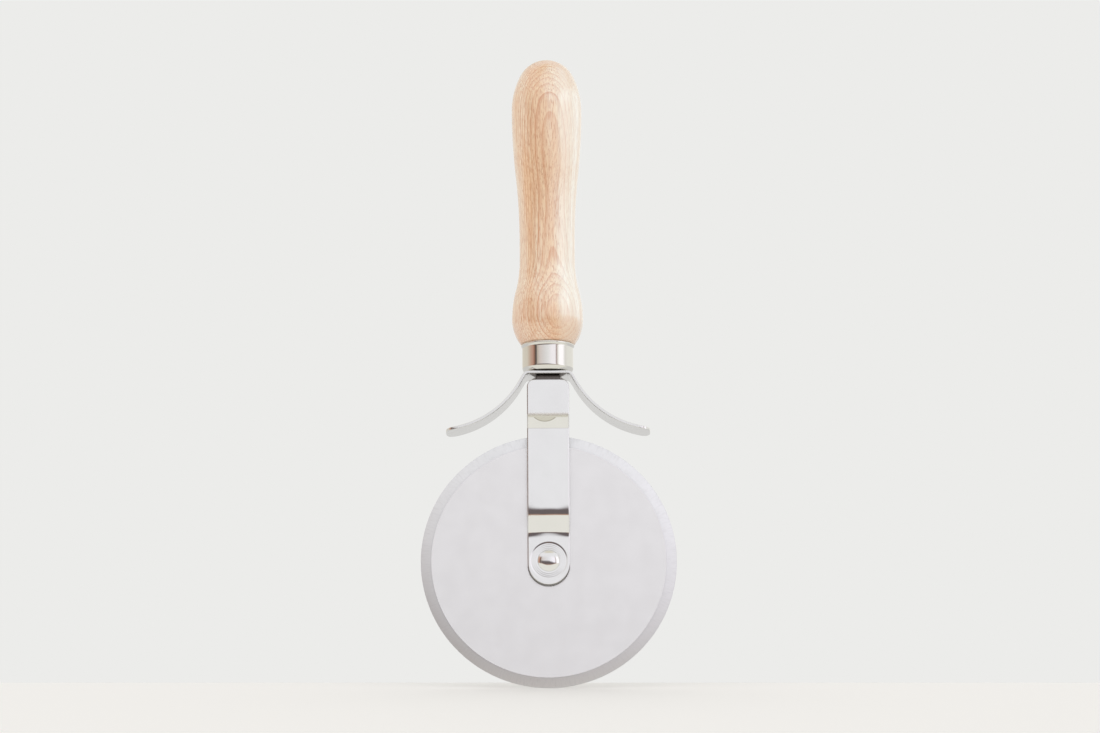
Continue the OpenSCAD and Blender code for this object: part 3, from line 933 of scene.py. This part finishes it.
def grind_zone(tree):
    """Fine marks that the grinding left across the bevel."""
    waves_per_radian = 70
    waves_per_metre = 250
    reach, turn = reach_from(tree, HUB.x, HUB.z)
    spot = add(tree, "ShaderNodeCombineXYZ")
    tree.links.new(product(tree, turn, waves_per_radian), spot.inputs[0])
    tree.links.new(product(tree, reach, waves_per_metre), spot.inputs[1])
    marks = add(tree, "ShaderNodeTexNoise", Scale=1.0, Detail=4.0, Roughness=0.7)
    tree.links.new(spot.outputs[0], marks.inputs["Vector"])
    return levels(tree, marks.outputs[0], 0.45, 0.7)


def burr_zone(tree):
    """The fine lines along the bevel's two edges."""
    reach = reach_from(tree, HUB.x, HUB.z)[0]
    bevel_r = BLADE_R - BEVEL_W
    inner = fading(tree, reach, bevel_r + 0.3 * MM, bevel_r + 0.6 * MM)
    outer = levels(tree, reach, BLADE_R - 0.4 * MM, BLADE_R - 0.2 * MM)
    return maths(tree, "MAXIMUM", inner, outer)


def seat_shade_zone(tree):
    """Painted shade on the ferrule's bottom, round its seat on the guard."""
    return fading(tree, coordinates(tree)[2], FERRULE_LOW.z + 0.3 * MM, FERRULE_LOW.z + 0.55 * MM)


def crook_shade_zone(tree):
    """Painted shade on the guard's underside round the fork's neck, wider towards its front and rear edges.
    """
    x, y, z = coordinates(tree)
    widening = product(tree, maths(tree, "ABSOLUTE", y), 0.33)
    gap = maths(tree, "SUBTRACT", maths(tree, "ABSOLUTE", x), widening)
    beside = fading(tree, gap, 4.5 * MM, 5.5 * MM)
    guard_under = GUARD_HIGH.z - GUARD_T
    under = fading(tree, z, guard_under + 0.02 * MM, guard_under + 0.12 * MM)
    return product(tree, beside, under)


# Stage

def make_floor():
    """Pale floor that the blade stands on."""
    corners = [(-FLOOR_HALF_W, -FLOOR_FRONT), (FLOOR_HALF_W, -FLOOR_FRONT),
               (FLOOR_HALF_W, FLOOR_BACK), (-FLOOR_HALF_W, FLOOR_BACK)]
    down = Vector((-ROOM_UP.x, 0, -ROOM_UP.z)).normalized()
    contact = HUB + down * BLADE_R
    spots = [contact + ROOM_RIGHT * x + ROOM_AHEAD * y for x, y in corners]
    data = bpy.data.meshes.new("floor")
    data.from_pydata(spots, [], [(0, 1, 2, 3)])
    floor = bpy.data.objects.new("floor", data)
    bpy.context.scene.collection.objects.link(floor)
    material, _, shader = new_finish("pale_floor")
    shader.inputs["Base Color"].default_value = srgb(250, 249, 247)
    shader.inputs["Roughness"].default_value = 0.8
    data.materials.append(material)
    # The metal mirrors the world's own ground instead
    floor.visible_glossy = False


def make_world():
    """Soft even light, and pale surroundings with a dim band in front for the metal to mirror."""
    world = bpy.data.worlds.new("room")
    bpy.context.scene.world = world
    world.use_nodes = True
    tree = world.node_tree
    tree.nodes.clear()
    way = add(tree, "ShaderNodeTexCoord").outputs["Generated"]

    def along(axis):
        """Share of a direction that points along an axis."""
        return vector_maths(tree, "DOT_PRODUCT", way, axis).outputs["Value"]

    def by_rise(rises, below, above, height):
        """Colour that changes between two rises above the horizon, by the sine of a direction's rise."""
        low, high = [math.sin(math.radians(angle)) for angle in rises]
        return mixed(tree, levels(tree, height, low, high), below, above)

    dim = srgb(112, 102, 102)
    horizon = srgb(190, 150, 125)
    upper = srgb(252, 251, 252)
    overhead = srgb(232, 226, 208)
    ground_front = srgb(249, 247, 238)
    ground_behind = srgb(224, 223, 221)
    backdrop = srgb(236, 236, 234)
    fill_tone = (1.0, 0.99, 0.97, 1)
    fill_strength = 0.92
    rise = along(ROOM_UP)
    front = along(-ROOM_AHEAD)
    right = along(ROOM_RIGHT)
    around = add(tree, "ShaderNodeValToRGB")
    turn = maths(tree, "ARCTAN2", right, front)
    tree.links.new(maths(tree, "ADD", maths(tree, "DIVIDE", turn, 2 * math.pi), 0.5), around.inputs[0])
    ramp = around.color_ramp.elements
    while len(ramp) < len(ROOM_TONES):
        ramp.new(0.5)
    for element, (angle, tone) in zip(ramp, ROOM_TONES):
        element.position = angle / 360 + 0.5
        element.color = (*tone, 1)
    # The dim band in front gets lower to the right
    slant = maths(tree, "ADD", rise, product(tree, maths(tree, "MAXIMUM", right, 0), DIM_SLANT))
    band = by_rise(DIM_TOP_RISE, dim, around.outputs[0], slant)
    band = by_rise(HORIZON_RISE, horizon, band, rise)
    sides = mixed(tree, levels(tree, front, 0.35, 0.8), around.outputs[0], band)
    sides = by_rise(PALE_RISE, sides, upper, rise)
    sides = by_rise(OVERHEAD_RISE, sides, overhead, rise)
    ground = mixed(tree, levels(tree, front, -0.3, 0.3), ground_behind, ground_front)
    mirrored = by_rise(GROUND_RISE, ground, sides, rise)
    # Straight views show the backdrop, glossy rays the surroundings, and all others an even fill
    rays = add(tree, "ShaderNodeLightPath").outputs
    straight = maths(tree, "MAXIMUM", rays["Is Camera Ray"], rays["Is Transmission Ray"])
    seen = add(tree, "ShaderNodeBackground", Strength=1.0)
    tree.links.new(mixed(tree, straight, mirrored, backdrop), seen.inputs[0])
    fill = add(tree, "ShaderNodeBackground", Color=fill_tone, Strength=fill_strength)
    choose = add(tree, "ShaderNodeMixShader")
    tree.links.new(maths(tree, "MAXIMUM", straight, rays["Is Glossy Ray"]), choose.inputs[0])
    tree.links.new(fill.outputs[0], choose.inputs[1])
    tree.links.new(seen.outputs[0], choose.inputs[2])
    output = add(tree, "ShaderNodeOutputWorld")
    tree.links.new(choose.outputs[0], output.inputs[0])


def add_window(angle, rise, width, height, power, lit):
    """Soft window, at an angle from straight in front and a rise, that only one piece's sheen shows."""
    target = (cad_low + cad_high) / 2
    turn = math.radians(angle)
    up = math.radians(rise)
    level = ROOM_RIGHT * math.sin(turn) - ROOM_AHEAD * math.cos(turn)
    way = level * math.cos(up) + ROOM_UP * math.sin(up)
    data = bpy.data.lights.new("window", "AREA")
    data.shape = "RECTANGLE"
    data.size = width
    data.size_y = height
    data.energy = power
    data.color = WINDOW_COLOUR
    lamp = bpy.data.objects.new("window", data)
    lamp.location = target + way * WINDOW_FAR
    lamp.rotation_euler = (-way).to_track_quat("-Z", "Y").to_euler()
    lamp.visible_diffuse = False
    bpy.context.scene.collection.objects.link(lamp)
    receivers = bpy.data.collections.new("lit_by_window")
    receivers.objects.link(lit)
    lamp.light_linking.receiver_collection = receivers


def make_camera():
    """Camera in front of the hub, which it puts where the photograph has it."""
    per_px = CAMERA_FAR / FOCAL_PX
    place = (HUB - ROOM_AHEAD * CAMERA_FAR - ROOM_RIGHT * ((HUB_PX[0] - PHOTO_W / 2) * per_px)
             + ROOM_UP * ((HUB_PX[1] - PHOTO_H / 2) * per_px))
    data = bpy.data.cameras.new("camera")
    data.sensor_width = SENSOR_W
    data.lens = SENSOR_W * FOCAL_PX / PHOTO_W
    data.clip_end = CLIP_FAR
    camera = bpy.data.objects.new("camera", data)
    axes = Matrix((ROOM_RIGHT, ROOM_UP, -ROOM_AHEAD)).transposed()
    camera.matrix_world = Matrix.Translation(place) @ axes.to_4x4()
    bpy.context.scene.collection.objects.link(camera)
    bpy.context.scene.camera = camera


def dress(piece, finishes, body, node):
    """Gives a new piece its finishes, and puts it in place of a node on a body."""
    for finish in finishes:
        piece.data.materials.append(finish)
    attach(piece, body)
    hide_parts(node)


# Tones of the steel's other zones: painted shade, painted highlight, painted reflection and grinding marks
# Painted shade on the fork's neck under the guard
neck_painted_shade = (0.15, 0.135, 0.13, 1)
# Painted shade on the guard's underside round the fork's neck
crook_painted_shade = (0.50, 0.46, 0.44, 1)
# Painted reflection under the fork's upper bends
lens_painted_reflection = (0.64, 0.625, 0.575, 1)
# Darker painted reflection along the edge of that band
lens_edge_painted_reflection = (0.46, 0.44, 0.40, 1)
# Painted shade in crevices: round the rim of the leg's end and round the ferrule's seat
crevice_painted_shade = (0.10, 0.09, 0.08, 1)
# Painted highlight on the fork's upper bends
bend_painted_highlight = (0.97, 0.96, 0.93, 1)
grind_dark = (0.82, 0.83, 0.845, 1)

wood = beech()
bright = steel("bright_steel", (0.80, 0.80, 0.80, 1), rough=0.09, uneven=0.03, wave=0.12, scratch=0.0004)
# The fork's steel has painted shade on its neck and its end's rim, a painted highlight on its upper bends
# and a painted reflection under them
fork_bright = steel("fork_steel", (0.80, 0.80, 0.80, 1), rough=0.09, uneven=0.03, wave=0.09, scratch=0.0004,
                    zones=[(neck_shade_zone, neck_painted_shade, 0.4), (end_shade_zone, crevice_painted_shade, 0.3),
                           (bend_highlight_zone, bend_painted_highlight, 0.35), (lens_reflection_zone, lens_painted_reflection, 0.0),
                           (lens_reflection_edge, lens_edge_painted_reflection, 0.0)])
# The fork's worn edges have the same painted shade on the neck and the end's rim
worn = steel("worn_steel", (0.72, 0.72, 0.73, 1), rough=0.3, uneven=0.04, wave=0.01, scratch=0.0004,
             zones=[(neck_shade_zone, neck_painted_shade, 0.3), (end_shade_zone, crevice_painted_shade, 0.2)])
# Sides of the fork: dull sheared steel, made darker still as painted shade
sheared_and_shaded = steel("sheared_shaded_steel", (0.30, 0.29, 0.29, 1), rough=0.36, uneven=0.05, wave=0.02, scratch=0.001)
rolled = steel("rolled_steel", (0.46, 0.45, 0.44, 1), rough=0.34, uneven=0.05, wave=0.01, scratch=0.001)
# The ferrule's steel has painted shade round its seat on the guard
ferrule_bright = steel("ferrule_steel", (0.75, 0.74, 0.71, 1), rough=0.08, uneven=0.02, wave=0.01,
                       scratch=0.0004, zones=[(seat_shade_zone, crevice_painted_shade, 0.3)])
# The guard's steel has painted shade on its underside round the fork's neck
tumbled = steel("tumbled_steel", (0.76, 0.76, 0.755, 1), rough=0.16, uneven=0.03, wave=0.01, scratch=0.0004,
                zones=[(crook_shade_zone, crook_painted_shade, 0.3)])
satin = steel("satin_steel", (0.88, 0.876, 0.88, 1), rough=0.23, uneven=0.01, wave=0.001, scratch=0.0002)
ground_steel = steel("ground_bevel", (0.88, 0.89, 0.905, 1), rough=0.36, uneven=0.01, wave=0.001,
                     scratch=0.0002, zones=[(grind_zone, grind_dark, 0.04), (burr_zone, grind_dark, 0.0)])
plain = steel("inner_steel", (0.62, 0.62, 0.62, 1), rough=0.35, uneven=0.06, wave=0.002, scratch=0.001)

handle = make_handle()
dress(handle, [wood], "tool", "handle")
dress(make_ferrule(), [ferrule_bright], "tool", "ferrule")
dress(make_guard(), [tumbled] * 4, "tool", "finger_guard")
dress(make_fork(), [fork_bright, sheared_and_shaded, rolled, worn], "tool", "fork")
dress(make_blade(), [satin, ground_steel], "wheel", "blade_wheel")
dress(make_rivet("front_rivet", "axle_rivet", True), [bright], "tool", "axle_rivet")
dress(make_rivet("rear_rivet", "rivet_cap", False), [bright], "tool", "rivet_cap")

for inner in ("tang", "tang_washer", "wheel_bush", "front_washer", "rear_washer"):
    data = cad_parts[inner].data
    data.materials.clear()
    data.materials.append(plain)
    for face in data.polygons:
        face.use_smooth = False

make_floor()
make_world()
for window in SHEEN_WINDOWS:
    add_window(*window, handle)
make_camera()
bpy.context.scene.view_settings.view_transform = "Standard"
